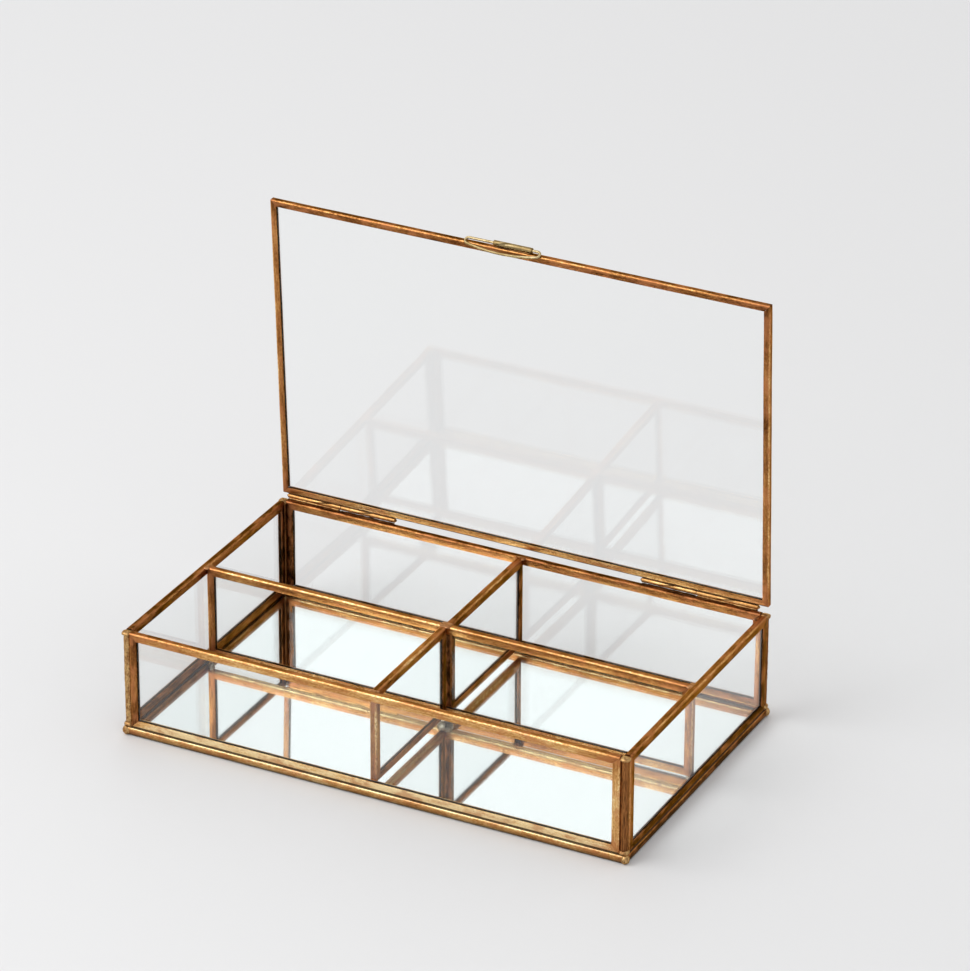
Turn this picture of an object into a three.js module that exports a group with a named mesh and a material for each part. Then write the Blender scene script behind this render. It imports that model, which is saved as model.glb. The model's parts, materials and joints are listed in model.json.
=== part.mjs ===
import * as THREE from 'three';

// Divided jewelry box: panes of glass edged with folded brass channel, on a mirror floor,
// with a hinged glass lid that has a wire pull. Millimetres, +Z up, front towards -Y.
// The origin is on the table, under the middle of the box.

// Box
const boxWidth = 280;
const boxDepth = 166;
const boxHeight = 58.8; // table to the top of the walls

// Brass channel
const sheet = 0.5; // brass sheet that the channels are folded from
const foldRadius = 1.1; // rounded outer folds of a channel
const foldSteps = 3;
const glassPlay = 0.1; // between a pane's face and its channel
const glassEndPlay = 0.3; // between a pane's edge and the bottom of its channel
const mitrePlay = 0.05; // what each mitred end is short by
const solderFilm = 0.1; // between framed panes that are soldered together

// Panes and how far their channels reach over them
const wallGlass = 2.6;
const wallLeg = 4.2;
const mirrorGlass = 3.8; // the mirror together with its backing board
const mirrorLeg = 3.8;
const lidGlass = 2.3;
const lidLeg = 3.5;

// Base and dividers
const baseLip = 0.3; // how far the base frame stands out past the walls
const longDividerY = -2.5; // the divider from the left wall to the right wall
const frontDividerX = 0.3; // the short dividers in front of it and behind it
const backDividerX = 1.2;
const dividerBottom = 7.8; // the dividers hang clear of the mirror

// Lid
const lidOpenAngle = 87; // between the lid and its closed position
const lidFrontLip = 6.5; // how far the closed lid stands out past the front wall
const lidSideInset = 0.8; // how far its ends stay inside the side walls
const lidSeat = 0.4; // between the closed lid and the walls

// Hinges
const knuckleRadius = 1.3;
const knuckleBore = 0.74;
const hingePinRadius = 0.65;
const hingePinTail = 0.8; // how far a pin stands out at each end
const knucklePlay = 0.2; // between neighbouring knuckles
const solderBed = 0.3; // between a tube and the rail that it is soldered to
const hingeBehind = 0.3; // how far the hinge line is behind the back wall
const hinges = [
  { name: 'left', side: -1, centre: 105, boxKnuckle: 31, lidKnuckle: 31.5 },
  { name: 'right', side: 1, centre: 99, boxKnuckle: 34, lidKnuckle: 30.5 },
];

// Pull
const pullTubeLength = 21.4;
const pullTubeRadius = 1.4;
const pullTubeBore = 0.79;
const pullTubeX = -1.7;
const pullWireRadius = 0.7;
const pullLength = 41.4; // along the middle of the wire
const pullDepth = 3.2; // across the round ends, along the middle of the wire
const pullBow = 2.1; // how far the front side bows out past them in its middle
const pullShift = -5.4; // how far the pull has slid along its tube
const pullEndPlay = 0.4; // between the wire's two ends, inside the tube
const pullDrop = 36; // how far it hangs below square to the lid, on the rail's edge

const roundSides = 24;
const wireSides = 10;
const wireSteps = 92;

// What follows from the sizes above
const channelThickness = (glass) => glass + 2 * (sheet + glassPlay);
const wallThickness = channelThickness(wallGlass);
const baseThickness = channelThickness(mirrorGlass);
const lidThickness = channelThickness(lidGlass);
const wallBottom = baseThickness + solderFilm;
const wallHeight = boxHeight - wallBottom;
const dividerHeight = boxHeight - dividerBottom;
const hingeY = boxDepth / 2 + hingeBehind;
const hingeZ = boxHeight + solderBed + knuckleRadius;
const lidRearSetback = knuckleRadius + solderBed;
const lidFaceOffset = hingeZ - boxHeight - lidSeat;
const lidWidth = boxWidth - 2 * lidSideInset;
const lidLength = boxDepth + hingeBehind - lidRearSetback + lidFrontLip;

const brass = (color, roughness) =>
  new THREE.MeshStandardMaterial({ color, roughness, metalness: 1 });
const clearGlass = () =>
  new THREE.MeshStandardMaterial({
    color: 0xdfece8,
    roughness: 0.05,
    metalness: 0,
    transparent: true,
    opacity: 0.3,
  });
const mirrorSilver = () =>
  new THREE.MeshStandardMaterial({ color: 0xd9dcdc, roughness: 0.03, metalness: 1 });

const railColour = 0xb08a45;
const uprightColour = 0x8a6632;
const tubeColour = 0x9a7440;
const wireColour = 0x7d6238;

// Half of a channel's section on each side of its middle: X across the pane,
// Y = 0 at the folded edge, and the legs reaching down towards -Y over the glass.
function channelSection(thickness, leg) {
  const half = thickness / 2;
  const section = new THREE.Shape();
  section.moveTo(-half, -leg);
  section.lineTo(-half, -foldRadius);
  section.absarc(-half + foldRadius, -foldRadius, foldRadius, Math.PI, Math.PI / 2, true);
  section.lineTo(half - foldRadius, 0);
  section.absarc(half - foldRadius, -foldRadius, foldRadius, Math.PI / 2, 0, true);
  section.lineTo(half, -leg);
  section.lineTo(half - sheet, -leg);
  section.lineTo(half - sheet, -sheet);
  section.lineTo(-half + sheet, -sheet);
  section.lineTo(-half + sheet, -leg);
  section.closePath();
  return section;
}

// A length of channel along X with both ends cut at 45 degrees, its folded edge at Y = 0.
function mitredChannel(length, thickness, leg) {
  const cutLength = length - 2 * mitrePlay;
  const geometry = new THREE.ExtrudeGeometry(channelSection(thickness, leg), {
    depth: cutLength,
    steps: 1,
    bevelEnabled: false,
    curveSegments: foldSteps,
  });
  geometry.translate(0, 0, -cutLength / 2);
  const place = geometry.attributes.position;
  for (let i = 0; i < place.count; i += 1) {
    const inset = -place.getY(i);
    place.setZ(i, place.getZ(i) - Math.sign(place.getZ(i)) * inset);
  }
  geometry.rotateY(Math.PI / 2);
  return geometry;
}

function named(name, geometry, material) {
  const mesh = new THREE.Mesh(geometry, material);
  mesh.name = name;
  return mesh;
}

// A pane in the XY plane with a channel on each side. The edge names go
// top, bottom, left and right.
function framedPane(name, size, paneMaterial, edges) {
  const { width, height, glass, leg } = size;
  const thickness = channelThickness(glass);
  const panel = new THREE.Group();
  const inset = 2 * (sheet + glassEndPlay);
  const pane = new THREE.BoxGeometry(width - inset, height - inset, glass);
  panel.add(named(`${name}_pane`, pane, paneMaterial));
  const sides = [
    { length: width, turn: 0, x: 0, y: height / 2, colour: railColour },
    { length: width, turn: Math.PI, x: 0, y: -height / 2, colour: railColour },
    { length: height, turn: Math.PI / 2, x: -width / 2, y: 0, colour: uprightColour },
    { length: height, turn: -Math.PI / 2, x: width / 2, y: 0, colour: uprightColour },
  ];
  sides.forEach((side, i) => {
    const channel = mitredChannel(side.length, thickness, leg);
    const strip = named(`${name}_${edges[i]}`, channel, brass(side.colour, 0.38));
    strip.position.set(side.x, side.y, 0);
    strip.rotation.z = side.turn;
    panel.add(strip);
  });
  return panel;
}

// Stands a pane up, facing along Y, or along X when it is turned a quarter.
function standUp(panel, x, y, bottom, height, quarterTurn) {
  panel.rotation.set(Math.PI / 2, 0, quarterTurn ? Math.PI / 2 : 0, 'ZYX');
  panel.position.set(x, y, bottom + height / 2);
  return panel;
}

function base() {
  const width = boxWidth + 2 * baseLip;
  const height = boxDepth + 2 * baseLip;
  const size = { width, height, glass: mirrorGlass, leg: mirrorLeg };
  const edges = ['back_rail', 'front_rail', 'left_rail', 'right_rail'];
  const panel = framedPane('base_mirror', size, mirrorSilver(), edges);
  panel.position.z = baseThickness / 2;
  return panel;
}

// The walls meet only at their inner corners, so each outer corner is an open notch.
function walls() {
  const group = new THREE.Group();
  const long = boxWidth - 2 * (wallThickness + solderFilm / 2);
  const short = boxDepth - 2 * (wallThickness + solderFilm / 2);
  const edges = ['top_rail', 'bottom_rail', 'left_upright', 'right_upright'];
  const sideEdges = ['top_rail', 'bottom_rail', 'front_upright', 'back_upright'];
  const faceY = (boxDepth - wallThickness) / 2;
  const faceX = (boxWidth - wallThickness) / 2;
  const places = [
    { name: 'front_wall', width: long, x: 0, y: -faceY, turned: false, edges },
    { name: 'back_wall', width: long, x: 0, y: faceY, turned: false, edges },
    { name: 'left_wall', width: short, x: -faceX, y: 0, turned: true, edges: sideEdges },
    { name: 'right_wall', width: short, x: faceX, y: 0, turned: true, edges: sideEdges },
  ];
  for (const place of places) {
    const size = { width: place.width, height: wallHeight, glass: wallGlass, leg: wallLeg };
    const panel = framedPane(place.name, size, clearGlass(), place.edges);
    group.add(standUp(panel, place.x, place.y, wallBottom, wallHeight, place.turned));
  }
  return group;
}

// One long framed pane runs from side to side, and two short ones meet it in the middle.
function dividers() {
  const group = new THREE.Group();
  const wallX = boxWidth / 2 - wallThickness - solderFilm;
  const wallY = boxDepth / 2 - wallThickness - solderFilm;
  const longFront = longDividerY - wallThickness / 2 - solderFilm;
  const longBack = longDividerY + wallThickness / 2 + solderFilm;
  const places = [
    { name: 'long_divider', from: -wallX, to: wallX, ends: ['left', 'right'] },
    { name: 'front_divider', from: -wallY, to: longFront, x: frontDividerX, ends: ['wall', 'centre'] },
    { name: 'back_divider', from: longBack, to: wallY, x: backDividerX, ends: ['centre', 'wall'] },
  ];
  for (const { name, from, to, x, ends } of places) {
    const turned = x !== undefined;
    const middle = (from + to) / 2;
    const size = { width: to - from, height: dividerHeight, glass: wallGlass, leg: wallLeg };
    const edges = ['top_rail', 'bottom_rail', ...ends.map((end) => `${end}_upright`)];
    const panel = framedPane(name, size, clearGlass(), edges);
    const place = turned ? [x, middle] : [middle, longDividerY];
    group.add(standUp(panel, ...place, dividerBottom, dividerHeight, turned));
  }
  return group;
}

// A tube along X, centred on its own origin.
function tube(length, outer, bore) {
  const half = length / 2;
  const wall = [
    [bore, -half],
    [outer, -half],
    [outer, half],
    [bore, half],
    [bore, -half],
  ];
  const profile = wall.map(([radius, along]) => new THREE.Vector2(radius, along));
  const geometry = new THREE.LatheGeometry(profile, roundSides);
  geometry.rotateZ(-Math.PI / 2);
  return geometry;
}

function knuckle(name, length, x) {
  const mesh = named(name, tube(length, knuckleRadius, knuckleBore), brass(tubeColour, 0.45));
  mesh.position.x = x;
  return mesh;
}

// The knuckles and pins that stay on the box, about the hinge line.
function boxHingeParts() {
  const group = new THREE.Group();
  group.position.set(0, hingeY, hingeZ);
  for (const { name, side, centre, boxKnuckle, lidKnuckle } of hinges) {
    const start = centre + knucklePlay / 2;
    group.add(knuckle(`${name}_hinge_box_knuckle`, boxKnuckle, side * (start + boxKnuckle / 2)));
    const length = lidKnuckle + knucklePlay + boxKnuckle + 2 * hingePinTail;
    const geometry = new THREE.CylinderGeometry(hingePinRadius, hingePinRadius, length, roundSides);
    geometry.rotateZ(-Math.PI / 2);
    const pin = named(`${name}_hinge_pin`, geometry, brass(wireColour, 0.4));
    pin.position.x = side * (centre + (boxKnuckle - lidKnuckle) / 2);
    group.add(pin);
  }
  return group;
}

function lidHingeParts() {
  const group = new THREE.Group();
  for (const { name, side, centre, lidKnuckle } of hinges) {
    const end = centre - knucklePlay / 2;
    group.add(knuckle(`${name}_hinge_lid_knuckle`, lidKnuckle, side * (end - lidKnuckle / 2)));
  }
  return group;
}

// The pull's wire: a straight side through the tube, round ends and a bowed front side.
function pullWire() {
  const end = pullDepth / 2;
  const reach = pullLength / 2 - end;
  const lean = Math.atan2(2 * pullBow, reach);
  const bowX = reach + end * Math.sin(lean);
  const bowY = end * (1 + Math.cos(lean));
  const outline = new THREE.Path();
  outline.moveTo(pullEndPlay / 2, 0);
  outline.lineTo(reach, 0);
  outline.absarc(reach, end, end, -Math.PI / 2, Math.PI / 2 - lean, false);
  outline.quadraticCurveTo(0, bowY + bowX * Math.tan(lean), -bowX, bowY);
  outline.absarc(-reach, end, end, Math.PI / 2 + lean, (3 * Math.PI) / 2, false);
  outline.lineTo(-pullEndPlay / 2, 0);
  const points = outline.getSpacedPoints(wireSteps).map((p) => new THREE.Vector3(p.x, -p.y, 0));
  const section = new THREE.Shape();
  section.absarc(0, 0, pullWireRadius, 0, 2 * Math.PI, false);
  return new THREE.ExtrudeGeometry(section, {
    steps: wireSteps,
    extrudePath: new THREE.CatmullRomCurve3(points),
    curveSegments: wireSides,
    bevelEnabled: false,
  });
}

function pull() {
  const group = new THREE.Group();
  const geometry = tube(pullTubeLength, pullTubeRadius, pullTubeBore);
  const holder = named('pull_tube', geometry, brass(tubeColour, 0.4));
  const wire = named('pull_wire', pullWire(), brass(wireColour, 0.35));
  wire.position.x = pullShift;
  wire.rotation.x = THREE.MathUtils.degToRad(pullDrop);
  group.add(holder, wire);
  return group;
}

// The lid is made upright about the hinge line, and then leans to its open angle.
function lid() {
  const group = new THREE.Group();
  const size = { width: lidWidth, height: lidLength, glass: lidGlass, leg: lidLeg };
  const edges = ['front_rail', 'rear_rail', 'left_rail', 'right_rail'];
  const panel = framedPane('lid', size, clearGlass(), edges);
  const middleY = lidThickness / 2 - lidFaceOffset;
  const middleZ = lidRearSetback + lidLength / 2;
  panel.rotation.x = Math.PI / 2;
  panel.position.set(0, middleY, middleZ);
  const handle = pull();
  const handleZ = lidRearSetback + lidLength + solderBed + pullTubeRadius;
  handle.position.set(pullTubeX, middleY, handleZ);
  group.add(panel, handle, lidHingeParts());
  group.position.set(0, hingeY, hingeZ);
  group.rotation.x = THREE.MathUtils.degToRad(90 - lidOpenAngle);
  return group;
}

const jewelryBox = new THREE.Group();
jewelryBox.add(base(), walls(), dividers(), boxHingeParts(), lid());

export default jewelryBox;
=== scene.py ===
import json
import math

import bmesh
import bpy
from mathutils import Matrix, Vector, noise


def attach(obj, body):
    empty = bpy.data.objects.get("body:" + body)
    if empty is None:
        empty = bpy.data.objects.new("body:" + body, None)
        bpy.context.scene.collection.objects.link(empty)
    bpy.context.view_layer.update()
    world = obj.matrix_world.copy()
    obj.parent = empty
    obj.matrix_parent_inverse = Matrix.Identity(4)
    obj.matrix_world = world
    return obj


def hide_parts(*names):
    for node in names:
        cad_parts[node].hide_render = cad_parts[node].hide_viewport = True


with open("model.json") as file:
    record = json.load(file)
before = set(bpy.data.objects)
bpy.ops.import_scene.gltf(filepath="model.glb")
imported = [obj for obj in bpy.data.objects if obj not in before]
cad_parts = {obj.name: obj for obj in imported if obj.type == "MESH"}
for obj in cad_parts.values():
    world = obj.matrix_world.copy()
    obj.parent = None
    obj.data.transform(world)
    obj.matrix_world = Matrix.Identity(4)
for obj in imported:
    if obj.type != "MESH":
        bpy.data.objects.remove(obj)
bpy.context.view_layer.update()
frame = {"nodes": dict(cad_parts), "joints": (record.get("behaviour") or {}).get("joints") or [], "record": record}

mm = 0.001
record = frame["record"]
bodyNodes = record["behaviour"]["bodies"]
nodeBody = {node: body for body, nodes in bodyNodes.items() for node in nodes}
jointByName = {joint["name"]: joint for joint in frame["joints"]}

# The lid stands a little forward of upright. Its pieces are made upright, and then lean.
hingePoint = Vector(jointByName["lid_hinge"]["pos_m"])
lidLean = math.radians(90 - jointByName["lid_hinge"]["range_deg"][1])


def turnAbout(point, angle):
    return Matrix.Translation(point) @ Matrix.Rotation(angle, 4, "X") @ Matrix.Translation(-point)


def placeOf(body):
    return Matrix.Identity(4) if body == "box" else turnAbout(hingePoint, lidLean)


def uprightBox(node):
    # a node's lowest and highest corner, with the lid's lean taken out
    back = placeOf(nodeBody[node]).inverted()
    points = [back @ v.co for v in frame["nodes"][node].data.vertices]
    low = Vector([min(p[i] for p in points) for i in range(3)])
    high = Vector([max(p[i] for p in points) for i in range(3)])
    return low, high


def middle(box):
    return (box[0] + box[1]) / 2


def span(box):
    return box[1] - box[0]


# shader nodes as sums

class Wire:
    # one shader socket, so that a sum on it adds Math nodes
    def __init__(self, tree, socket=None):
        self.tree = tree
        self.socket = socket

    def node(self, kind, settings=None, sockets=None, output=0):
        made = self.tree.nodes.new(kind)
        for key, value in (settings or {}).items():
            if key == "stops":
                fillRamp(made.color_ramp, value)
            else:
                setattr(made, key, value)
        for key, value in (sockets or {}).items():
            if isinstance(value, Wire):
                self.tree.links.new(value.socket, made.inputs[key])
            else:
                made.inputs[key].default_value = value
        return Wire(self.tree, made.outputs[output])

    def maths(self, operation, first, second, clamp=False):
        settings = {"operation": operation, "use_clamp": clamp}
        return self.node("ShaderNodeMath", settings, {0: first, 1: second})

    def __add__(self, other):
        return self.maths("ADD", self, other)

    def __sub__(self, other):
        return self.maths("SUBTRACT", self, other)

    def __mul__(self, other):
        return self.maths("MULTIPLY", self, other)

    def __pow__(self, other):
        return self.maths("POWER", self, other)

    def __radd__(self, other):
        return self.maths("ADD", other, self)

    def __rsub__(self, other):
        return self.maths("SUBTRACT", other, self)

    def __rmul__(self, other):
        return self.maths("MULTIPLY", other, self)

    def held(self):
        return self.maths("ADD", self, 0.0, clamp=True)

    def blend(self, first, second):
        # this socket as the share of the second colour
        sockets = {0: self, 6: first, 7: second}
        return self.node("ShaderNodeMix", {"data_type": "RGBA"}, sockets, output=2)

    def step(self, low, high):
        # 0 below low, 1 above high, smooth between them
        sockets = {0: self, 1: low, 2: high}
        return self.node("ShaderNodeMapRange", {"interpolation_type": "SMOOTHSTEP"}, sockets)


def fillRamp(ramp, stops):
    while len(ramp.elements) < len(stops):
        ramp.elements.new(1.0)
    for element, (place, colour) in zip(ramp.elements, stops):
        element.position = place
        element.color = colour


def startMaterial(name):
    material = bpy.data.materials.new(name)
    material.use_nodes = True
    tree = material.node_tree
    tree.nodes.clear()
    return material, Wire(tree)


def endMaterial(wire, shader):
    out = wire.tree.nodes.new("ShaderNodeOutputMaterial")
    wire.tree.links.new(shader.socket, out.inputs["Surface"])


def colour(red, green, blue):
    return (red, green, blue, 1.0)


def noiseOf(wire, coordinates, stretch, size, detail=4.0, roughness=0.55):
    # a noise whose lumps are size metres across, and stretch times as long
    scale = (1 / (size * stretch[0]), 1 / (size * stretch[1]), 1 / (size * stretch[2]))
    placed = wire.node("ShaderNodeMapping", {}, {"Vector": coordinates, "Scale": scale})
    sockets = {"Vector": placed, "Scale": 1.0, "Detail": detail, "Roughness": roughness}
    return wire.node("ShaderNodeTexNoise", {}, sockets)


# aged brass

agedBrass = {
    "ramp": [
        (0.00, colour(0.030, 0.011, 0.004)),
        (0.20, colour(0.105, 0.036, 0.010)),
        (0.40, colour(0.265, 0.100, 0.028)),
        (0.55, colour(0.420, 0.182, 0.054)),
        (0.70, colour(0.600, 0.308, 0.102)),
        (0.85, colour(0.800, 0.495, 0.200)),
        (1.00, colour(0.950, 0.730, 0.400)),
    ],
    "copper": colour(0.52, 0.200, 0.078),
    # painted shade: near-black colour for the channel's hidden inside and its shaded folds
    "insideShade": colour(0.016, 0.010, 0.006),
    "grazing": colour(0.85, 0.62, 0.36),
    "patch": 7.0 * mm,
    "patchShare": 0.85,
    "mottle": 0.75 * mm,
    "mottleShare": 0.75,
    "streak": 0.26 * mm,
    "streakShare": 0.75,
    "wearShare": 0.36,
    "heatShare": 0.30,
    "pit": 0.32 * mm,
    "bump": 0.05 * mm,
    "crumbBump": 0.22 * mm,
    "roughness": 0.34,
}


def brassMaterial(name, values):
    # one patina value runs from near black through brown and gold to bare metal
    material, wire = startMaterial(name)
    along = wire.node("ShaderNodeAttribute", {"attribute_name": "alongPiece"}, {}, output=1)
    wear = wire.node("ShaderNodeAttribute", {"attribute_name": "foldWear"}, {}, output=2)
    heat = wire.node("ShaderNodeAttribute", {"attribute_name": "jointHeat"}, {}, output=2)
    insideAndFoldShade = wire.node("ShaderNodeAttribute", {"attribute_name": "channelInside"}, {}, output=2)
    # this tone is partly patina and partly painted shade, set face by face
    tone = wire.node("ShaderNodeAttribute", {"attribute_name": "goldTone"}, {}, output=2)
    crumbs = wire.node("ShaderNodeAttribute", {"attribute_name": "solderCrumbs"}, {}, output=2)

    patches = noiseOf(wire, along, (3.0, 1.0, 1.0), values["patch"], 5.0, 0.6)
    mottle = noiseOf(wire, along, (2.0, 1.0, 1.0), values["mottle"], 6.0, 0.7)
    streaks = noiseOf(wire, along, (36.0, 1.0, 1.0), values["streak"], 3.0, 0.6)
    pits = noiseOf(wire, along, (1.3, 1.0, 1.0), values["pit"], 3.0, 0.6)
    pinks = noiseOf(wire, along, (2.5, 1.0, 1.0), values["patch"] * 0.6, 4.0, 0.6)

    patina = tone + (patches - 0.5) * values["patchShare"] + (mottle - 0.5) * values["mottleShare"]
    patina = patina + (streaks - 0.5) * values["streakShare"] + wear * mottle * 2.0 * values["wearShare"]
    patina = patina - heat * patches * 2.0 * values["heatShare"] + (pits - 0.5) * crumbs * 2.2
    base = patina.node("ShaderNodeValToRGB", {"stops": values["ramp"]}, {"Fac": patina.held()})
    copperShare = (pinks + heat * 0.12).step(0.46, 0.64) * 0.6
    base = copperShare.blend(base, values["copper"])
    base = (0.8 * pits.step(0.60, 0.74)).blend(base, values["ramp"][1][1])
    # painted shade: the channel's hidden inside, the marked fold lines and the base's groove are blended towards
    # near black
    base = insideAndFoldShade.held().blend(base, values["insideShade"])

    rough = values["roughness"] + (mottle - 0.5) * 0.4 + (0.5 - patina) * 0.18 + insideAndFoldShade * 0.3
    metal = 1 - insideAndFoldShade * 0.6
    height = mottle * 0.55 + pits * 0.3 + streaks * 0.35
    bumpSockets = {"Strength": 0.6, "Distance": values["bump"], "Height": height}
    fine = wire.node("ShaderNodeBump", {}, bumpSockets)
    crumbSockets = {
        "Strength": 0.9,
        "Distance": values["crumbBump"],
        "Height": crumbs * mottle,
        "Normal": fine,
    }
    normal = wire.node("ShaderNodeBump", {}, crumbSockets)
    sockets = {"Base Color": base, "Roughness": rough.held(), "Metallic": metal, "Normal": normal}
    sockets["Specular Tint"] = values["grazing"]
    endMaterial(wire, wire.node("ShaderNodeBsdfPrincipled", {}, sockets))
    return material


# solder

goldSolder = {
    "light": colour(0.60, 0.38, 0.16),
    "base": colour(0.34, 0.17, 0.065),
    "dark": colour(0.11, 0.050, 0.018),
    "lump": 3.0 * mm,
    "grain": 0.9 * mm,
    "stretch": (1.0, 1.0, 1.0),
    "darkShare": 0.2,
    "bump": 0.09 * mm,
}
# dark corner solder: partly painted shade of the corner grooves
cornerShadeSolder = {
    **goldSolder,
    "light": colour(0.36, 0.145, 0.045),
    "base": colour(0.150, 0.052, 0.016),
    "dark": colour(0.025, 0.010, 0.004),
    "stretch": (1.0, 1.0, 14.0),
    "lump": 0.8 * mm,
    "grain": 0.35 * mm,
}
# near-black solder: partly painted shade in the gaps under and over the hinge tubes and under the pull tube
shadowSolder = {
    **goldSolder,
    "light": colour(0.20, 0.095, 0.032),
    "base": colour(0.050, 0.022, 0.009),
    "dark": colour(0.012, 0.006, 0.003),
    "stretch": (3.0, 1.0, 1.0),
}
copperSolder = {
    **goldSolder,
    "light": colour(0.54, 0.27, 0.125),
    "base": colour(0.36, 0.155, 0.062),
    "darkShare": 0.3,
}
greySolder = {
    **goldSolder,
    "light": colour(0.56, 0.48, 0.38),
    "base": colour(0.27, 0.22, 0.155),
    "dark": colour(0.06, 0.04, 0.025),
}


def solderMaterial(name, values):
    material, wire = startMaterial(name)
    place = wire.node("ShaderNodeTexCoord", {}, {}, output=3)
    lumps = noiseOf(wire, place, values["stretch"], values["lump"], 4.0)
    grains = noiseOf(wire, place, values["stretch"], values["grain"], 6.0, 0.7)
    base = (lumps * 0.7 + grains * 0.3).step(0.40, 0.60).blend(values["base"], values["light"])
    darkShare = (1 - grains).step(0.50 - values["darkShare"] * 0.1, 0.66 - values["darkShare"] * 0.1)
    base = (darkShare * 0.8).blend(base, values["dark"])
    rough = 0.36 + (grains - 0.5) * 0.5
    bumpSockets = {"Strength": 0.8, "Distance": values["bump"], "Height": grains + lumps * 0.5}
    normal = wire.node("ShaderNodeBump", {}, bumpSockets)
    sockets = {"Base Color": base, "Roughness": rough.held(), "Normal": normal, "Metallic": 0.9}
    sockets["Specular Tint"] = agedBrass["grazing"]
    endMaterial(wire, wire.node("ShaderNodeBsdfPrincipled", {}, sockets))
    return material


# glass and mirror

paneFinish = {"tint": colour(0.992, 1.0, 0.999), "shade": colour(0.90, 0.915, 0.91), "ior": 1.5}
mirrorFinish = {"silver": colour(0.84, 0.885, 0.885), "haze": 6.0 * mm, "paint": colour(0.17, 0.18, 0.18)}


def glassMaterial(name, values):
    # lamps pass straight through, so that the panes do not darken the box
    material, wire = startMaterial(name)
    place = wire.node("ShaderNodeTexCoord", {}, {}, output=3)
    smears = noiseOf(wire, place, (1.0, 1.0, 1.0), 40 * mm, 2.0)
    ripple = wire.node("ShaderNodeBump", {}, {"Strength": 0.12, "Distance": 0.2 * mm, "Height": smears})
    glass = wire.node("ShaderNodeBsdfPrincipled", {}, {
        "Base Color": values["tint"],
        "Roughness": 0.0,
        "IOR": values["ior"],
        "Transmission Weight": 1.0,
        "Normal": ripple,
    })
    clear = wire.node("ShaderNodeBsdfTransparent", {}, {"Color": values["shade"]})
    forLamps = wire.node("ShaderNodeLightPath", {}, {}, output=1)
    endMaterial(wire, wire.node("ShaderNodeMixShader", {}, {0: forLamps, 1: glass, 2: clear}))
    return material


def silverMaterial(name, values):
    material, wire = startMaterial(name)
    place = wire.node("ShaderNodeTexCoord", {}, {}, output=3)
    haze = noiseOf(wire, place, (1.0, 1.0, 1.0), values["haze"], 3.0)
    rough = 0.012 + haze * 0.02
    sockets = {"Base Color": values["silver"], "Metallic": 1.0, "Roughness": rough}
    endMaterial(wire, wire.node("ShaderNodeBsdfPrincipled", {}, sockets))
    return material


def backPaintMaterial(name, values):
    material, wire = startMaterial(name)
    place = wire.node("ShaderNodeTexCoord", {}, {}, output=3)
    grain = noiseOf(wire, place, (1.0, 1.0, 1.0), 0.8 * mm, 5.0)
    cloud = noiseOf(wire, place, (1.0, 1.0, 1.0), 25 * mm, 4.0)
    base = cloud.step(0.35, 0.7).blend(values["paint"], colour(0.25, 0.26, 0.26))
    normal = wire.node("ShaderNodeBump", {}, {"Strength": 0.3, "Distance": 0.05 * mm, "Height": grain})
    sockets = {"Base Color": base, "Roughness": 0.5 + grain * 0.2, "Normal": normal}
    endMaterial(wire, wire.node("ShaderNodeBsdfPrincipled", {}, sockets))
    return material


brass = brassMaterial("agedBrass", agedBrass)
tubeFinish = {**agedBrass, "copper": colour(0.50, 0.27, 0.10), "patch": 4.0 * mm, "heatShare": 0.15}
tubeBrass = brassMaterial("agedTubeBrass", tubeFinish)
wireFinish = {
    **tubeFinish,
    "ramp": [
        (0.00, colour(0.022, 0.013, 0.006)),
        (0.30, colour(0.110, 0.072, 0.030)),
        (0.60, colour(0.330, 0.235, 0.105)),
        (1.00, colour(0.800, 0.660, 0.400)),
    ],
    "copper": colour(0.30, 0.20, 0.08),
    "grazing": colour(0.66, 0.55, 0.32),
}
wireBrass = brassMaterial("agedWireBrass", wireFinish)
goldBeads = solderMaterial("goldSolder", goldSolder)
cornerShadeBeads = solderMaterial("cornerShadeSolder", cornerShadeSolder)
shadowBeads = solderMaterial("shadowSolder", shadowSolder)
copperBeads = solderMaterial("copperSolder", copperSolder)
greyBeads = solderMaterial("greySolder", greySolder)
paneGlass = glassMaterial("paneGlass", paneFinish)
mirrorSilver = silverMaterial("mirrorSilver", mirrorFinish)
mirrorPaint = backPaintMaterial("mirrorBackPaint", mirrorFinish)
print("materials made")


# making pieces

def addPiece(name, bm, body, materials, replaced=(), sharp=35):
    bmesh.ops.recalc_face_normals(bm, faces=bm.faces)
    mesh = bpy.data.meshes.new(name)
    bm.to_mesh(mesh)
    bm.free()
    mesh.transform(placeOf(body))
    for material in materials:
        mesh.materials.append(material)
    mesh.polygons.foreach_set("use_smooth", [True] * len(mesh.polygons))
    mesh.set_sharp_from_angle(angle=math.radians(sharp))
    piece = bpy.data.objects.new(name, mesh)
    bpy.context.scene.collection.objects.link(piece)
    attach(piece, body)
    if replaced:
        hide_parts(*replaced)
    return piece


def whole(bm):
    return bm.verts[:] + bm.edges[:] + bm.faces[:]


def roughen(bm, seed, size, amount, fineSize=None, fineAmount=0.0):
    # pushes every vertex along its normal by a smooth random amount
    bm.normal_update()
    shift = Vector((seed * 3.17, seed * 1.71, seed * 5.3))
    for v in bm.verts:
        push = noise.noise(v.co / size + shift) * amount
        if fineSize:
            push += noise.noise(v.co / fineSize + shift * 2) * fineAmount
        v.co += v.normal * push


# folded channels

channelMake = {
    "foldRadius": 1.1 * mm,
    "baseFoldRadius": 1.6 * mm,
    "foldSegments": 6,
    "tipRadius": 0.14 * mm,
    "play": 0.1 * mm,
    "step": 4.0 * mm,
    "cornerFile": 0.5 * mm,
    "wave": 0.07 * mm,
    "waveLength": 30 * mm,
    "dent": 0.035 * mm,
    "dentLength": 7 * mm,
    "heatReach": 7 * mm,
}
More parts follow.
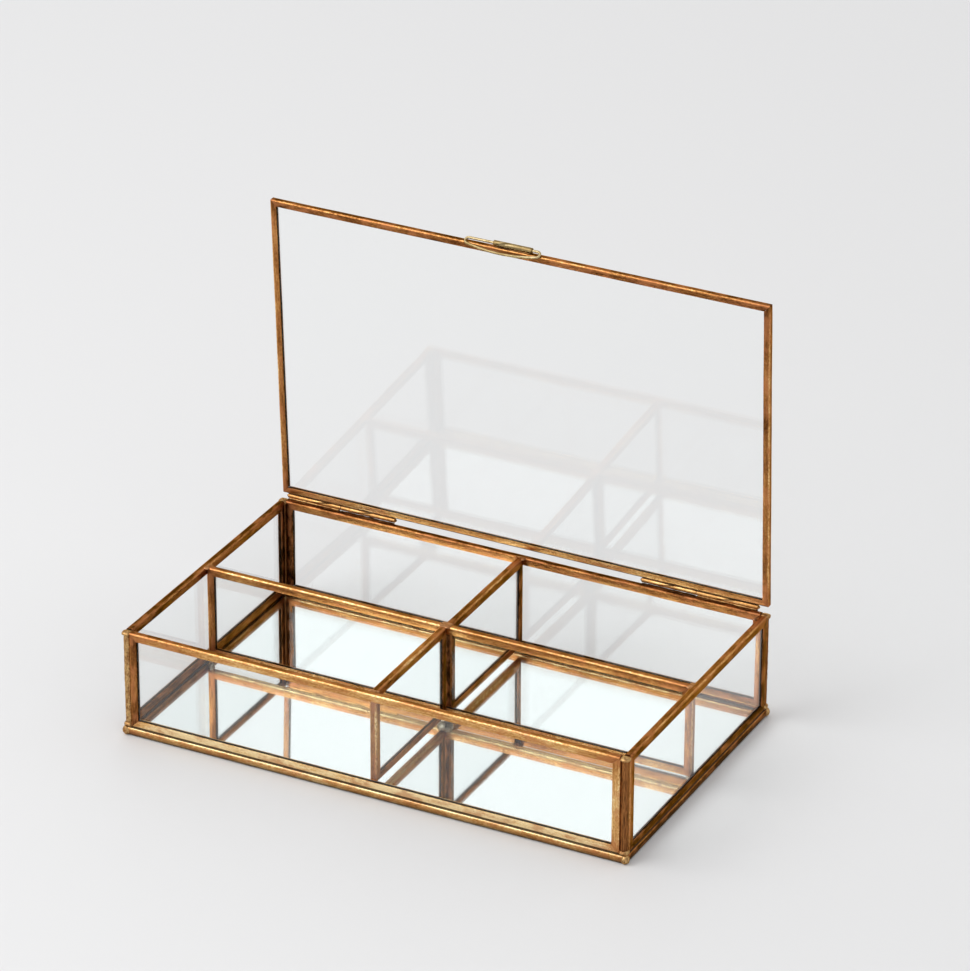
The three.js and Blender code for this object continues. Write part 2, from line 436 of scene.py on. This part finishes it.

# how golden each channel is drawn, 0 for brown and 1 for bare metal: on its folded edge, and on its sides; partly
# the brass's own patina, partly painted shade and light set face by face, such as the near-black top of the back
# top rail in the hinge tubes' shade and the darker right-hand rails
channelPatinaShade = {
    "base_mirror_front_rail": (0.72, 0.60),
    "base_mirror_right_rail": (0.12, 0.12),
    "base_mirror_left_rail": (0.30, 0.30),
    "base_mirror_back_rail": (0.30, 0.30),
    "front_wall_top_rail": (0.38, 0.74),
    "front_wall_bottom_rail": (0.90, 1.05),
    "front_wall_left_upright": (0.40, 0.40),
    "front_wall_right_upright": (0.48, 0.84),
    "right_wall_top_rail": (0.35, 0.36),
    "right_wall_bottom_rail": (0.22, 0.22),
    "right_wall_front_upright": (0.34, 0.36),
    "right_wall_back_upright": (0.28, 0.28),
    "left_wall_top_rail": (0.12, 0.30),
    "left_wall_bottom_rail": (0.30, 0.32),
    "left_wall_back_upright": (0.16, 0.18),
    "back_wall_top_rail": (0.04, 0.56),
    "back_wall_bottom_rail": (0.72, 0.52),
    "back_wall_left_upright": (0.16, 0.18),
    "back_wall_right_upright": (0.50, 0.56),
    "lid_front_rail": (0.24, 0.38),
    "lid_rear_rail": (0.66, 0.68),
    "lid_left_rail": (0.46, 0.50),
    "lid_right_rail": (0.40, 0.44),
    "long_divider_top_rail": (0.42, 0.57),
    "long_divider_bottom_rail": (0.86, 0.60),
    "front_divider_top_rail": (0.40, 0.38),
    "front_divider_wall_upright": (0.54, 0.56),
    "front_divider_centre_upright": (0.20, 0.24),
    "back_divider_top_rail": (0.26, 0.30),
    "back_divider_centre_upright": (0.02, 0.02),
    "back_divider_wall_upright": (0.22, 0.24),
    "front_divider_bottom_rail": (0.50, 0.36),
    "long_divider_left_upright": (0.44, 0.46),
    "long_divider_right_upright": (0.44, 0.50),
    "back_divider_bottom_rail": (0.50, 0.38),
}
otherPatinaShade = (0.36, 0.36)

# bottom rails that solder crumbs cling to, and how much
crumbled = {
    "long_divider_bottom_rail": 1.0,
    "front_divider_bottom_rail": 0.8,
    "back_divider_bottom_rail": 0.8,
    "left_wall_bottom_rail": 0.6,
    "back_wall_bottom_rail": 0.7,
}

# rails darkened along one fold, and which way that fold faces: a painted contact shadow on the base rails' lower
# folds, and a painted dark shade line along the other rails' folds
shadedFold = {
    "front_wall_top_rail": (0, 1, 0),
    "long_divider_top_rail": (0, 1, 0),
    "lid_rear_rail": (0, -1, 0),
    "front_wall_bottom_rail": (0, -1, 0),
    "right_wall_bottom_rail": (1, 0, 0),
    "base_mirror_front_rail": (0, 0, -1),
    "base_mirror_right_rail": (0, 0, -1),
}
shadedFoldWidth = {"base_mirror_front_rail": 2.1 * mm, "base_mirror_right_rail": 2.1 * mm}


def axisVector(index, sign=1.0):
    vector = Vector((0, 0, 0))
    vector[index] = sign
    return vector


def channelFrame(node, pane):
    # length axis, the axis out of the pane's edge, and the axis through the pane
    size = span(uprightBox(node))
    thin = min(range(3), key=lambda i: span(uprightBox(pane))[i])
    long = max(range(3), key=lambda i: size[i])
    out = 3 - thin - long
    side = (middle(uprightBox(node)) - middle(uprightBox(pane)))[out]
    return long, out, thin, math.copysign(1, side)


def foldOf(node):
    return channelMake["baseFoldRadius" if node.startswith("base_mirror") else "foldRadius"]


def channelMesh(length, thickness, leg, sheet, fold, values):
    # along X, folded edge at Y = 0, legs towards -Y
    bm = bmesh.new()
    half = thickness / 2
    outline = [
        (-half, -leg), (-half, 0), (half, 0), (half, -leg),
        (half - sheet, -leg), (half - sheet, -sheet), (-half + sheet, -sheet), (-half + sheet, -leg),
    ]
    corners = [bm.verts.new((-length / 2, y, z)) for z, y in outline]
    face = bm.faces.new(corners)
    grown = bmesh.ops.extrude_face_region(bm, geom=[face])
    moved = [v for v in grown["geom"] if isinstance(v, bmesh.types.BMVert)]
    bmesh.ops.translate(bm, verts=moved, vec=(length, 0, 0))
    long = [e for e in bm.edges if abs((e.verts[0].co - e.verts[1].co).x) > length / 2]
    cuts = max(3, round(length / values["step"]))
    bmesh.ops.subdivide_edges(bm, edges=long, cuts=cuts, use_grid_fill=True)

    def lengthwise(test):
        return [
            e for e in bm.edges
            if all(test(v.co) for v in e.verts)
            and abs((e.verts[0].co - e.verts[1].co).normalized().x) > 0.9
        ]

    near = 0.01 * mm
    folds = lengthwise(lambda p: abs(p.y) < near and abs(abs(p.z) - half) < near)
    bmesh.ops.bevel(
        bm, geom=folds, offset=fold, segments=values["foldSegments"],
        profile=0.5, affect="EDGES", material=-1,
    )
    for across in (half - 1.2 * mm, half - 0.7 * mm):
        for sign in (1, -1):
            bmesh.ops.bisect_plane(
                bm, geom=whole(bm), plane_co=(0, 0, sign * across), plane_no=(0, 0, 1), dist=1e-7,
            )
    tips = lengthwise(lambda p: abs(p.y + leg) < near)
    bmesh.ops.bevel(
        bm, geom=tips, offset=values["tipRadius"], segments=2,
        profile=0.5, affect="EDGES", material=-1,
    )
    return bm


def mitre(bm, length, values):
    half = length / 2 - 0.05 * mm
    for sign in (1, -1):
        bmesh.ops.bisect_plane(
            bm, geom=whole(bm), plane_co=(sign * half, 0, 0), plane_no=(sign, -1, 0),
            clear_outer=True, dist=1e-7,
        )
        for clip, tilt in ((1.0, 1.0), (0.55, 2.6)):
            tip = half - values["cornerFile"] * clip
            bmesh.ops.bisect_plane(
                bm, geom=whole(bm), plane_co=(sign * tip, 0, 0), plane_no=(sign, tilt, 0),
                clear_outer=True, dist=1e-7,
            )
        edges = [e for e in bm.edges if e.is_boundary]
        bmesh.ops.holes_fill(bm, edges=edges, sides=0)


def smooth(value, low, high):
    share = min(1.0, max(0.0, (value - low) / (high - low)))
    return share * share * (3 - 2 * share)


def markChannel(bm, node, size, shadedSide, seed, values):
    # what the brass reads: place along the piece, rubbed folds, heat at the joints, painted shade on the channel's
    # inside, along marked folds and in the base's groove, and a tone that is partly painted shade
    length, thickness, leg, sheet = size
    edgePatinaShade, sidePatinaShade = channelPatinaShade.get(node, otherPatinaShade)
    layers = bm.verts.layers
    crumbs = layers.float.new("solderCrumbs")
    along = layers.float_vector.new("alongPiece")
    wear = layers.float.new("foldWear")
    heat = layers.float.new("jointHeat")
    insideAndFoldShade = layers.float.new("channelInside")
    gold = layers.float.new("goldTone")
    half = thickness / 2
    fold = foldOf(node)
    shadeFrom = shadedFoldWidth.get(node, 1.2 * mm)
    shift = Vector((seed * 0.137, seed * 0.071, seed * 0.053))
    for v in bm.verts:
        x, y, z = v.co
        v[along] = v.co + shift
        corner = Vector((half - fold, -fold))
        reach = (Vector((abs(z), y)) - corner)
        rounded = reach.x > -0.05 * mm and reach.y > -0.05 * mm
        angle = math.atan2(reach.y, reach.x) if rounded else 0
        v[wear] = max(0.0, math.sin(2 * angle)) if rounded else 0.0
        end = length / 2 + y - abs(x)
        v[heat] = math.exp(-max(0.0, end) / values["heatReach"])
        # the channel's hidden inside is painted near black as shade
        hidden = abs(z) < half - sheet * 0.8 and y < -sheet * 0.8
        # painted shade: a dark line along the marked fold, a contact shadow under the base rails, and shade in the
        # base's groove where a wall stands on it
        foldShade = smooth(z * shadedSide, half - shadeFrom, half - shadeFrom * 0.6) * smooth(y, -fold, -fold * 0.5)
        grooveShade = smooth(-z * shadedSide, half - 0.7 * mm, half - 0.3 * mm) * smooth(-y, 0.35 * mm, 0.8 * mm)
        if not node.startswith("base_mirror"):
            grooveShade = 0.0
        v[insideAndFoldShade] = 1.0 if hidden else max(0.85 * foldShade, 0.75 * grooveShade)
        v[crumbs] = crumbled.get(node, 0.0)
        # edge and side tones differ partly as painted light and shade on differently facing faces
        edgeShare = smooth(y, -1.2 * fold, -0.2 * fold)
        v[gold] = sidePatinaShade + (edgePatinaShade - sidePatinaShade) * edgeShare


def bendChannel(bm, seed, values):
    # hand work: the whole section wanders a little, and the faces are slightly dented
    shift = Vector((seed * 2.3, 0, 0))
    for v in bm.verts:
        along = Vector((v.co.x / values["waveLength"], 0, 0)) + shift
        v.co.y += noise.noise(along) * values["wave"]
        v.co.z += noise.noise(along + Vector((0, 7.3, 0))) * values["wave"]
        dentAt = v.co / values["dentLength"] + shift
        v.co.y += noise.noise(dentAt) * values["dent"]
        v.co.z += noise.noise(dentAt + Vector((0, 0, 3.1))) * values["dent"]


def makeChannel(node, pane, seed):
    long, out, thin, side = channelFrame(node, pane)
    box = uprightBox(node)
    length, leg, thickness = span(box)[long], span(box)[out], span(box)[thin]
    length += 0.1 * mm
    sheet = (thickness - span(uprightBox(pane))[thin]) / 2 - channelMake["play"]
    bm = channelMesh(length, thickness, leg, sheet, foldOf(node), channelMake)
    mitre(bm, length, channelMake)
    xAxis, yAxis = axisVector(long), axisVector(out, side)
    zAxis = xAxis.cross(yAxis)
    shadedSide = zAxis.dot(Vector(shadedFold.get(node, (0, 0, 0))))
    markChannel(bm, node, (length, thickness, leg, sheet), shadedSide, seed, channelMake)
    bendChannel(bm, seed, channelMake)
    turn = Matrix((xAxis, yAxis, zAxis)).transposed().to_4x4()
    start = middle(box)
    start[out] += side * leg / 2
    bmesh.ops.transform(bm, matrix=Matrix.Translation(start) @ turn, verts=bm.verts)
    return addPiece(f"{node}_channel", bm, nodeBody[node], [brass], [node])


panes = [node for node in nodeBody if node.endswith("_pane")]
for pane in panes:
    family = pane[: -len("pane")]
    sides = [n for n in nodeBody if n.startswith(family) and n != pane]
    for node in sides:
        makeChannel(node, pane, panes.index(pane) * 10 + sides.index(node) + 1)
print("channels made")


# panes

paneMake = {"edge": 0.12 * mm}

for pane in panes:
    if pane == "base_mirror_pane":
        continue
    piece = frame["nodes"][pane]
    piece.data.materials.clear()
    piece.data.materials.append(paneGlass)
    edge = piece.modifiers.new("groundEdge", "BEVEL")
    edge.width = paneMake["edge"]
    edge.segments = 2
    edge.limit_method = "ANGLE"


def boxMesh(low, high, edge):
    bm = bmesh.new()
    bmesh.ops.create_cube(bm, size=1.0)
    bmesh.ops.scale(bm, vec=high - low, verts=bm.verts)
    bmesh.ops.translate(bm, vec=(low + high) / 2, verts=bm.verts)
    bmesh.ops.bevel(
        bm, geom=bm.edges[:], offset=edge, segments=2, profile=0.5, affect="EDGES", material=-1,
    )
    return bm


floorMake = {"glass": 1.7 * mm, "silver": 0.05 * mm, "gap": 0.01 * mm, "edge": 0.15 * mm}


def makeFloor():
    # a sheet of glass, silvered underneath, on a backing board
    low, high = uprightBox("base_mirror_pane")
    glassLow = high.z - floorMake["glass"]
    glass = boxMesh(Vector((low.x, low.y, glassLow)), high, floorMake["edge"])
    addPiece("floor_glass", glass, "box", [paneGlass], ["base_mirror_pane"], sharp=10)
    inset = floorMake["edge"]
    silverTop = glassLow - floorMake["gap"]
    silverLow = Vector((low.x + inset, low.y + inset, silverTop - floorMake["silver"]))
    silverHigh = Vector((high.x - inset, high.y - inset, silverTop))
    silver = boxMesh(silverLow, silverHigh, 0.01 * mm)
    addPiece("floor_silver", silver, "box", [mirrorSilver], sharp=10)
    boardHigh = Vector((high.x, high.y, silverLow.z - floorMake["gap"]))
    board = boxMesh(low, boardHigh, floorMake["edge"])
    addPiece("floor_backing", board, "box", [mirrorPaint], sharp=10)


makeFloor()
print("panes and mirror floor made")


# tubes and wires

tubeMake = {"rim": 0.12 * mm, "sides": 40, "rings": 24, "tone": 0.66, "dent": 0.02 * mm}


def markRound(bm, tone, seed, ends):
    layers = bm.verts.layers
    along = layers.float_vector.new("alongPiece")
    wear = layers.float.new("foldWear")
    heat = layers.float.new("jointHeat")
    insideAndFoldShade = layers.float.new("channelInside")
    gold = layers.float.new("goldTone")
    layers.float.new("solderCrumbs")
    for v in bm.verts:
        v[along] = v.co + Vector((seed * 0.11, seed * 0.07, seed * 0.03))
        v[wear] = 0.25
        v[heat] = math.exp(-min(abs(v.co.x - end) for end in ends) / (3 * mm))
        v[insideAndFoldShade] = 0.0
        v[gold] = tone


def tubeMesh(length, outer, bore, values):
    # a wall section turned once about the X axis
    bm = bmesh.new()
    rim = values["rim"]
    half = length / 2
    section = [
        (-half, bore), (-half, outer - rim), (-half + rim, outer),
        (half - rim, outer), (half, outer - rim), (half, bore),
    ]
    corners = [bm.verts.new((x, 0, r)) for x, r in section]
    bm.faces.new(corners)
    long = [e for e in bm.edges if (e.verts[0].co - e.verts[1].co).length > half]
    bmesh.ops.subdivide_edges(bm, edges=long, cuts=values["rings"], use_grid_fill=True)
    bmesh.ops.delete(bm, geom=bm.faces[:], context="FACES_ONLY")
    bmesh.ops.spin(
        bm, geom=bm.verts[:] + bm.edges[:], cent=(0, 0, 0), axis=(1, 0, 0),
        angle=2 * math.pi, steps=values["sides"], use_merge=True,
    )
    bmesh.ops.remove_doubles(bm, verts=bm.verts, dist=1e-7)
    return bm


def makeTube(node, bore, seed, material=tubeBrass, tone=tubeMake["tone"]):
    box = uprightBox(node)
    length, outer = span(box).x, span(box).z / 2
    bm = tubeMesh(length, outer, bore, tubeMake)
    markRound(bm, tone, seed, (-length / 2, length / 2))
    roughen(bm, seed, 3 * mm, tubeMake["dent"])
    bmesh.ops.translate(bm, verts=bm.verts, vec=middle(box))
    return addPiece(f"{node}_tube", bm, nodeBody[node], [material], [node])


pinMake = {"sides": 20, "tone": 0.2, "dome": 0.3 * mm}


def makePin(node, seed):
    box = uprightBox(node)
    length, radius = span(box).x, span(box).z / 2
    bm = bmesh.new()
    bmesh.ops.create_cone(
        bm, cap_ends=True, segments=pinMake["sides"], radius1=radius, radius2=radius, depth=length,
    )
    bmesh.ops.rotate(bm, verts=bm.verts, cent=(0, 0, 0), matrix=Matrix.Rotation(math.pi / 2, 3, "Y"))
    rims = [e for e in bm.edges if abs((e.verts[0].co - e.verts[1].co).x) < 1e-6]
    bmesh.ops.bevel(
        bm, geom=rims, offset=pinMake["dome"], segments=3, profile=0.5, affect="EDGES", material=-1,
    )
    markRound(bm, pinMake["tone"], seed, (-length / 2, length / 2))
    bmesh.ops.translate(bm, verts=bm.verts, vec=middle(box))
    return addPiece(f"{node}_wire", bm, nodeBody[node], [tubeBrass], [node])


knuckleBore = 0.74 * mm
pullBore = 0.79 * mm
for count, side in enumerate(("left", "right")):
    makeTube(f"{side}_hinge_box_knuckle", knuckleBore, 60 + count)
    makeTube(f"{side}_hinge_lid_knuckle", knuckleBore, 70 + count)
    makePin(f"{side}_hinge_pin", 80 + count)
makeTube("pull_tube", pullBore, 90, wireBrass, 0.48)

# the pull: one wire, bent into a long link with a bowed front side
pullMake = {
    "radius": 0.7 * mm,
    "length": 41.4 * mm,
    "depth": 3.2 * mm,
    "bow": 2.1 * mm,
    "endPlay": 0.4 * mm,
    "drop": 36.0,
    "slid": -5.4 * mm,
    "sides": 16,
    "tone": 0.66,
}


def makePull():
    values = pullMake
    bm = bmesh.new()
    endRadius = values["depth"] / 2
    reach = values["length"] / 2 - endRadius
    lean = math.atan2(2 * values["bow"], reach)
    bowX = reach + endRadius * math.sin(lean)
    bowed = bowX * math.tan(lean) / 2
    bmesh.ops.create_circle(bm, segments=values["sides"], radius=values["radius"])
    bmesh.ops.rotate(bm, verts=bm.verts, cent=(0, 0, 0), matrix=Matrix.Rotation(math.pi / 2, 3, "Y"))
    bmesh.ops.translate(bm, verts=bm.verts, vec=(values["endPlay"] / 2, 0, 0))

    def draw(loop, vec, turn=0.0, cent=(0, 0, 0)):
        grown = bmesh.ops.extrude_edge_only(bm, edges=loop)["geom"]
        verts = [v for v in grown if isinstance(v, bmesh.types.BMVert)]
        bmesh.ops.translate(bm, verts=verts, vec=vec)
        bmesh.ops.rotate(bm, verts=verts, cent=cent, matrix=Matrix.Rotation(turn, 3, "Z"))
        return [e for e in grown if isinstance(e, bmesh.types.BMEdge) and not e.link_faces[1:]]

    def turnRound(loop, x):
        around = bmesh.ops.spin(
            bm, geom=loop + list({v for e in loop for v in e.verts}), cent=(x, -endRadius, 0),
            axis=(0, 0, 1), angle=lean - math.pi, steps=14, use_merge=False,
        )
        return [e for e in around["geom_last"] if isinstance(e, bmesh.types.BMEdge)]

    loop = bm.edges[:]
    for count in range(6):
        loop = draw(loop, ((reach - values["endPlay"] / 2) / 6, 0, 0))
    loop = turnRound(loop, reach)
    steps = 28
    place = Vector((bowX, -endRadius * (1 + math.cos(lean)), 0))
    for count in range(steps):
        share = 1 - 2 * (count + 1) / steps
        nextPlace = Vector((bowX * share, place.y, 0))
        nextPlace.y = -endRadius * (1 + math.cos(lean)) - bowed * (1 - share * share)
        loop = draw(loop, nextPlace - place, -2 * lean / steps, nextPlace)
        place = nextPlace
    loop = turnRound(loop, -reach)
    for count in range(6):
        loop = draw(loop, ((reach - values["endPlay"] / 2) / 6, 0, 0))
    bmesh.ops.holes_fill(bm, edges=[e for e in bm.edges if e.is_boundary], sides=0)
    markRound(bm, values["tone"], 95, (0,))
    tube = middle(uprightBox("pull_tube"))
    drop = Matrix.Rotation(math.radians(values["drop"]), 4, "X")
    place = Matrix.Translation(tube + Vector((values["slid"], 0, 0))) @ drop
    bmesh.ops.transform(bm, matrix=place, verts=bm.verts)
    addPiece("pull_wire_link", bm, "pull", [wireBrass], ["pull_wire"])


makePull()
print("hinges and pull made")


# solder pieces

beadMake = {"sides": 18, "rings": 10, "grid": 1.4 * mm}


def beadMesh(middlePlace, halfSize, seed, rough=0.16 * mm, lump=1.6 * mm):
    # a rounded rod along its longest side, with lumps
    bm = bmesh.new()
    long = max(range(3), key=lambda i: halfSize[i])
    thick = min(halfSize[i] for i in range(3) if i != long)
    half = max(0.0, halfSize[long] - 1.2 * thick)
    bmesh.ops.create_uvsphere(
        bm, u_segments=beadMake["sides"], v_segments=beadMake["rings"], radius=1.0,
    )
    if long < 2:
        turn = Matrix.Rotation(math.pi / 2, 3, "Y" if long == 0 else "X")
        bmesh.ops.rotate(bm, verts=bm.verts, cent=(0, 0, 0), matrix=turn)
    size = Vector(halfSize)
    size[long] = halfSize[long] - half
    bmesh.ops.scale(bm, vec=size, verts=bm.verts)
    for sign in (1, -1):
        end = [v for v in bm.verts if v.co[long] * sign > size[long] * 0.1]
        bmesh.ops.translate(bm, verts=end, vec=axisVector(long, sign * half))
    stretched = [e for e in bm.edges if abs((e.verts[0].co - e.verts[1].co)[long]) > half > 0]
    cuts = max(1, round(half / beadMake["grid"]))
    bmesh.ops.subdivide_edges(bm, edges=stretched, cuts=cuts, use_grid_fill=True)
    bm.normal_update()
    shift = Vector((seed * 3.17, seed * 1.71, seed * 5.3))
    for v in bm.verts:
        push = noise.noise(v.co / lump + shift) * rough
        push += noise.noise(v.co / (lump * 0.35) + shift * 2) * rough * 0.5
        v.co += v.normal * push
    bmesh.ops.translate(bm, verts=bm.verts, vec=middlePlace)
    mesh = bpy.data.meshes.new("bead")
    bm.to_mesh(mesh)
    bm.free()
    return mesh


def solderPiece(name, beads, body, material):
    bm = bmesh.new()
    for count, (place, halfSize) in enumerate(beads):
        mesh = beadMesh(Vector(place), halfSize, len(name) * 7 + count)
        bm.from_mesh(mesh)
        bpy.data.meshes.remove(mesh)
    addPiece(name, bm, body, [material], sharp=60)


solderMake = {
    "cornerRadius": 2.6 * mm,
    "cornerCap": 1.2 * mm,
    "crossing": (3.1 * mm, 2.8 * mm, 0.75 * mm),
    "fillet": 2.9 * mm,
    "filletHeight": 0.55 * mm,
    "filletSunk": 0.45 * mm,
    "foot": 1.7 * mm,
    "crossingFoot": (4.2 * mm, 3.6 * mm),
}


def makeCorners():
    # solder fills the open notch at each corner, with a golden bump at its top and its foot; the notch's dark
    # brown is partly painted shade of the corner groove, and only the front-left corner, on the lit side, is
    # golden
    frontLow, frontHigh = uprightBox("front_wall_top_rail")
    leftLow = uprightBox("left_wall_top_rail")[0]
    baseTop = uprightBox("base_mirror_front_rail")[1].z
    outX, inX = leftLow.x, frontLow.x
    outY, inY = frontLow.y, leftLow.y
    x, y = (outX + inX) / 2, (outY + inY) / 2
    top = frontHigh.z
    for sideName, sideX in (("left", x), ("right", -x)):
        for faceName, faceY in (("front", y), ("back", -y)):
            inward = Vector((-math.copysign(0.12 * mm, sideX), -math.copysign(0.12 * mm, faceY), 0))
            centre = Vector((sideX, faceY, (top + baseTop) / 2)) + inward
            rod = (abs(outX - inX) / 2 + 0.15 * mm, abs(outY - inY) / 2 + 0.15 * mm, (top - baseTop) / 2)
            material = goldBeads if (faceName, sideName) == ("front", "left") else cornerShadeBeads
            solderPiece(f"{faceName}_{sideName}_corner_solder", [(centre, rod)], "box", material)
            cap = Vector((sideX, faceY, top - solderMake["cornerCap"]))
            foot = Vector((sideX, faceY, baseTop + 1.0 * mm))
            ending = Vector((sideX * 1.008, faceY * 1.012, baseTop / 2))
            bumps = [
                (cap, (solderMake["cornerRadius"], solderMake["cornerRadius"], solderMake["cornerCap"])),
                (foot, (solderMake["cornerRadius"], solderMake["cornerRadius"], 1.4 * mm)),
                (ending, (2.3 * mm, 2.3 * mm, baseTop / 2 - 0.1 * mm)),
            ]
            solderPiece(f"{faceName}_{sideName}_corner_bumps", bumps, "box", goldBeads)


def makeJoints():
    # where the dividers cross, where they meet the walls, and at their feet
    top = uprightBox("long_divider_top_rail")
    front = uprightBox("front_divider_top_rail")
    back = uprightBox("back_divider_top_rail")
    mirrorTop = uprightBox("base_mirror_pane")[1].z
    footTop = uprightBox("long_divider_bottom_rail")[0].z
    lineY = middle(top).y
    crossing = Vector(((middle(front).x + middle(back).x) / 2, lineY, top[1].z - 0.25 * mm))
    solderPiece("crossing_solder", [(crossing, solderMake["crossing"])], "box", copperBeads)
    wide, flat = solderMake["fillet"], solderMake["filletHeight"]
    ends = {
        "long_divider_left_end": (Vector((top[0].x, lineY, top[1].z)), (1.9 * mm, wide, flat)),
        "long_divider_right_end": (Vector((top[1].x, lineY, top[1].z)), (1.9 * mm, wide, flat)),
        "front_divider_end": (Vector((middle(front).x, front[0].y, top[1].z)), (wide, 1.9 * mm, flat)),
        "back_divider_end": (Vector((middle(back).x, back[1].y, top[1].z)), (wide, 1.9 * mm, flat)),
    }
    deep = (footTop - mirrorTop) / 2 + 0.5 * mm
    for name, (place, halfSize) in ends.items():
        sunk = Vector((place.x, place.y, place.z - solderMake["filletSunk"]))
        solderPiece(f"{name}_solder", [(sunk, halfSize)], "box", copperBeads)
        inward = Vector((-math.copysign(1.6 * mm, place.x), 0, 0))
        if halfSize[0] > halfSize[1]:
            inward = Vector((0, -math.copysign(1.6 * mm, place.y), 0))
        foot = Vector((place.x, place.y, (footTop + mirrorTop) / 2 + 0.2 * mm)) + inward
        footSize = (solderMake["foot"], solderMake["foot"], deep)
        if name != "back_divider_end":
            solderPiece(f"{name}_foot_solder", [(foot, footSize)], "box", greyBeads)
    foot = Vector((crossing.x, lineY, (footTop + mirrorTop) / 2 + 0.4 * mm))
    footSize = (*solderMake["crossingFoot"], deep + 0.3 * mm)
    solderPiece("crossing_foot_solder", [(foot, footSize)], "box", greyBeads)


def makeHingeSolder():
    # a low bead on the rails under and over each tube, clear of the tubes that turn in it; its near-black is
    # painted shade in the gaps between tubes and rails, and a bead by a tube of the other body is only painted
    # shade
    wallTop = uprightBox("back_wall_top_rail")[1]
    lidRear = uprightBox("lid_rear_rail")
    for side in ("left", "right"):
        boxTube = uprightBox(f"{side}_hinge_box_knuckle")
        lidTube = uprightBox(f"{side}_hinge_lid_knuckle")
        radius = span(boxTube).z / 2
        axisZ = middle(boxTube).z
        for tube, body in ((boxTube, "box"), (lidTube, "lid")):
            length = span(tube).x / 2
            x = middle(tube).x
            lowZ = axisZ - radius - 0.1 * mm
            flat = 0.35 * mm
            low = (Vector((x, wallTop.y - 0.7 * mm, lowZ - flat)), (length, 1.1 * mm, flat))
            high = (
                Vector((x, middle(lidRear).y, axisZ + radius + 0.12 * mm + flat)),
                (length, 1.5 * mm, flat),
            )
            solderPiece(f"{side}_{body}_tube_wall_solder", [low], "box", shadowBeads)
            solderPiece(f"{side}_{body}_tube_lid_solder", [high], "lid", shadowBeads)
        seat = Vector((middle(boxTube).x, wallTop.y - 0.1 * mm, axisZ - radius))
        halfSize = (span(boxTube).x / 2 - 0.6 * mm, 0.8 * mm, 0.55 * mm)
        solderPiece(f"{side}_box_tube_solder", [(seat, halfSize)], "box", goldBeads)
        seat = Vector((middle(lidTube).x, middle(lidTube).y + 0.4 * mm, axisZ + radius))
        halfSize = (span(lidTube).x / 2 - 0.6 * mm, 0.8 * mm, 0.5 * mm)
        solderPiece(f"{side}_lid_tube_solder", [(seat, halfSize)], "lid", goldBeads)


def makePullSolder():
    # the bead's near-black is partly painted shade in the gap between the pull tube and the rail
    tube = uprightBox("pull_tube")
    rail = uprightBox("lid_front_rail")
    seat = Vector((middle(tube).x, middle(tube).y, (rail[1].z + tube[0].z) / 2))
    halfSize = (span(tube).x / 2 - 0.4 * mm, 1.5 * mm, 0.6 * mm)
    solderPiece("pull_tube_solder", [(seat, halfSize)], "lid", shadowBeads)


makeCorners()
makeJoints()
makeHingeSolder()
makePullSolder()
print("solder made")


# stage, lights and camera

stageValues = {
    "floor": colour(0.75, 0.75, 0.755),
    "world": colour(1.0, 1.0, 1.0),
    "worldStrength": 0.82,
}


def makeStage():
    bm = bmesh.new()
    bmesh.ops.create_grid(bm, x_segments=1, y_segments=1, size=6.0)
    mesh = bpy.data.meshes.new("tableTop")
    bm.to_mesh(mesh)
    bm.free()
    floor = bpy.data.objects.new("tableTop", mesh)
    bpy.context.scene.collection.objects.link(floor)
    material, wire = startMaterial("tablePaint")
    sockets = {"Base Color": stageValues["floor"], "Roughness": 0.6}
    endMaterial(wire, wire.node("ShaderNodeBsdfPrincipled", {}, sockets))
    mesh.materials.append(material)
    world = bpy.data.worlds.new("studio")
    world.use_nodes = True
    sky = world.node_tree.nodes["Background"]
    sky.inputs["Color"].default_value = stageValues["world"]
    sky.inputs["Strength"].default_value = stageValues["worldStrength"]
    bpy.context.scene.world = world


def softBox(name, place, aim, width, height, power, tint=(1, 1, 1)):
    lamp = bpy.data.lights.new(name, "AREA")
    lamp.shape = "RECTANGLE"
    lamp.size = width
    lamp.size_y = height
    lamp.energy = power
    lamp.color = tint
    holder = bpy.data.objects.new(name, lamp)
    bpy.context.scene.collection.objects.link(holder)
    holder.location = place
    holder.rotation_euler = (Vector(aim) - Vector(place)).to_track_quat("-Z", "Y").to_euler()


makeStage()
softBox("backPanel", (-1.1, 2.2, 1.3), (0, 0, 0.05), 2.8, 2.0, 3.0)
softBox("frontPanel", (-1.1, -2.2, 1.3), (0, 0, 0.05), 2.0, 1.6, 11)
softBox("keyPanel", (-1.3, -0.95, 1.8), (0, 0, 0.05), 1.5, 1.5, 19)

cameraValues = {
    "place": Vector((1.1107, -2.1509, 1.3707)),
    "right": Vector((0.89129, 0.45342, 0.00319)),
    "up": Vector((-0.20858, 0.40375, 0.89077)),
    "lens": 203.8,
}


def makeCamera():
    lens = bpy.data.cameras.new("camera")
    lens.lens = cameraValues["lens"]
    lens.clip_end = 50
    camera = bpy.data.objects.new("camera", lens)
    bpy.context.scene.collection.objects.link(camera)
    right, up = cameraValues["right"], cameraValues["up"]
    turn = Matrix((right, up, right.cross(up))).transposed().to_4x4()
    camera.matrix_world = Matrix.Translation(cameraValues["place"]) @ turn
    bpy.context.scene.camera = camera


makeCamera()
scene = bpy.context.scene
scene.view_settings.view_transform = "Standard"
scene.cycles.max_bounces = 16
scene.cycles.transmission_bounces = 14
scene.cycles.glossy_bounces = 8
scene.cycles.transparent_max_bounces = 24
print("stage, lights and camera made")
